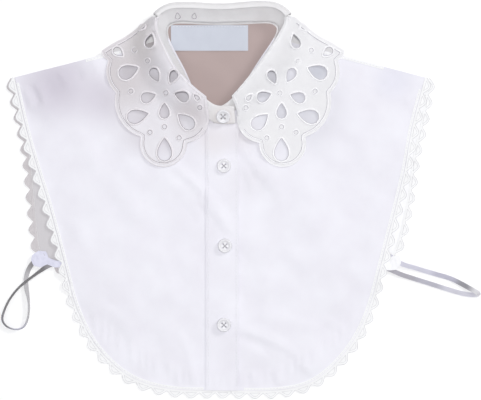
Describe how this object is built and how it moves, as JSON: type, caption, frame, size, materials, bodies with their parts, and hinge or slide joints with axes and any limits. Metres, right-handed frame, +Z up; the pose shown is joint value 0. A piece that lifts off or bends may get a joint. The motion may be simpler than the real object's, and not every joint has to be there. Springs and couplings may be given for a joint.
{
  "type": "detachable collar",
  "caption": "Half-blouse false collar laid flat: short front and back panels, buttoned placket, narrow stand, cutwork scalloped collar leaves, lace edging and elastic side loops.",
  "frame": {"origin": "on the table under the back panel, on the flat face that the garment rests on", "axes": "+X across the chest towards the wearer's left, +Y from the hem to the collar, +Z up from the table"},
  "size_m": [0.4174, 0.3457, 0.0229],
  "materials": {
    "cotton_white": "plain-woven white cotton, matt",
    "cotton_inside": "inner face of the plain-woven cotton, warm grey white",
    "cutwork": "fine white ground with satin-stitched cut eyelets",
    "lace": "white scalloped edging lace",
    "label_tape": "blank satin-woven tape",
    "button_white": "glossy white resin",
    "elastic": "thin flat white elastic"
  },
  "bodies": {
    "root": {"back_panel": "cotton_inside", "front_right": "cotton_white", "front_left": "cotton_white", "placket": "cotton_white", "collar_stand": "cotton_white", "collar_leaf_right": "cutwork", "collar_leaf_left": "cutwork", "collar_fall_back": "cutwork", "trim_front_right": "lace", "trim_front_left": "lace", "trim_back": "lace", "label": "label_tape", "button_1": "button_white", "button_2": "button_white", "button_3": "button_white", "button_4": "button_white", "loop_right": "elastic", "loop_left": "elastic"}
  },
  "joints": []
}
